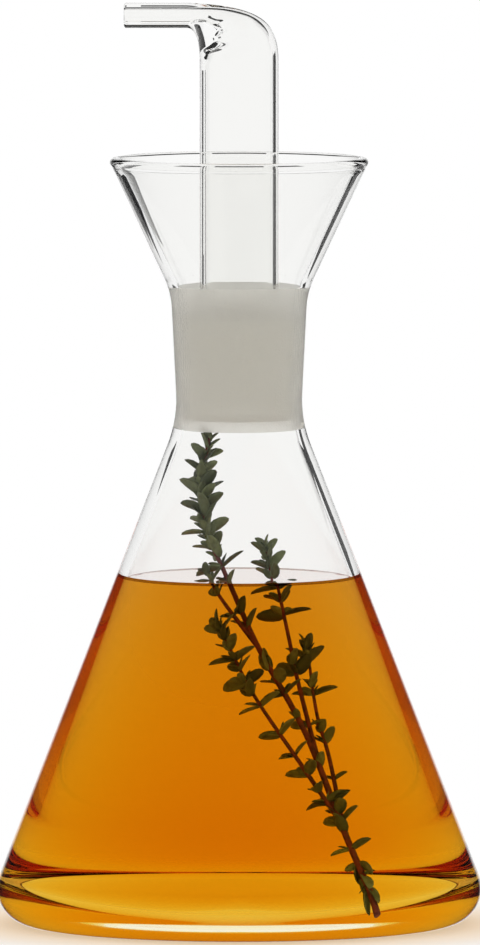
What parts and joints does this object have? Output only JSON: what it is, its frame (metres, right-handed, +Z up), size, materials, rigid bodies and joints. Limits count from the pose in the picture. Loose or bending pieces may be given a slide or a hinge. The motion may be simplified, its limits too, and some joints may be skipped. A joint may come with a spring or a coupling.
{
  "type": "oil cruet",
  "caption": "Conical glass oil cruet with a drip funnel, a lift-out hollow pour spout seated in a ground neck joint, filled with oil and a thyme sprig.",
  "frame": {"origin": "on the flask's axis, on the plane of its foot ring", "axes": "+Z up along the flask's axis, -X the way the spout points, -Y the side the sprig leans on"},
  "size_m": [0.1154, 0.1154, 0.2196],
  "materials": {
    "flask_glass": "clear blown borosilicate glass with a ground socket",
    "spout_glass": "clear drawn borosilicate glass with a ground seat",
    "oil": "clear amber oil",
    "thyme": "fresh thyme leaves on a red-brown stem"
  },
  "bodies": {
    "flask": {"flask": "flask_glass", "oil": "oil", "thyme_sprig": "thyme"},
    "pour_spout": {"pour_spout": "spout_glass"}
  },
  "joints": [
    {"name": "spout_lift", "type": "slide", "parent": "flask", "child": "pour_spout", "axis": [0, 0, 1], "range_m": [0, 0.075]}
  ]
}
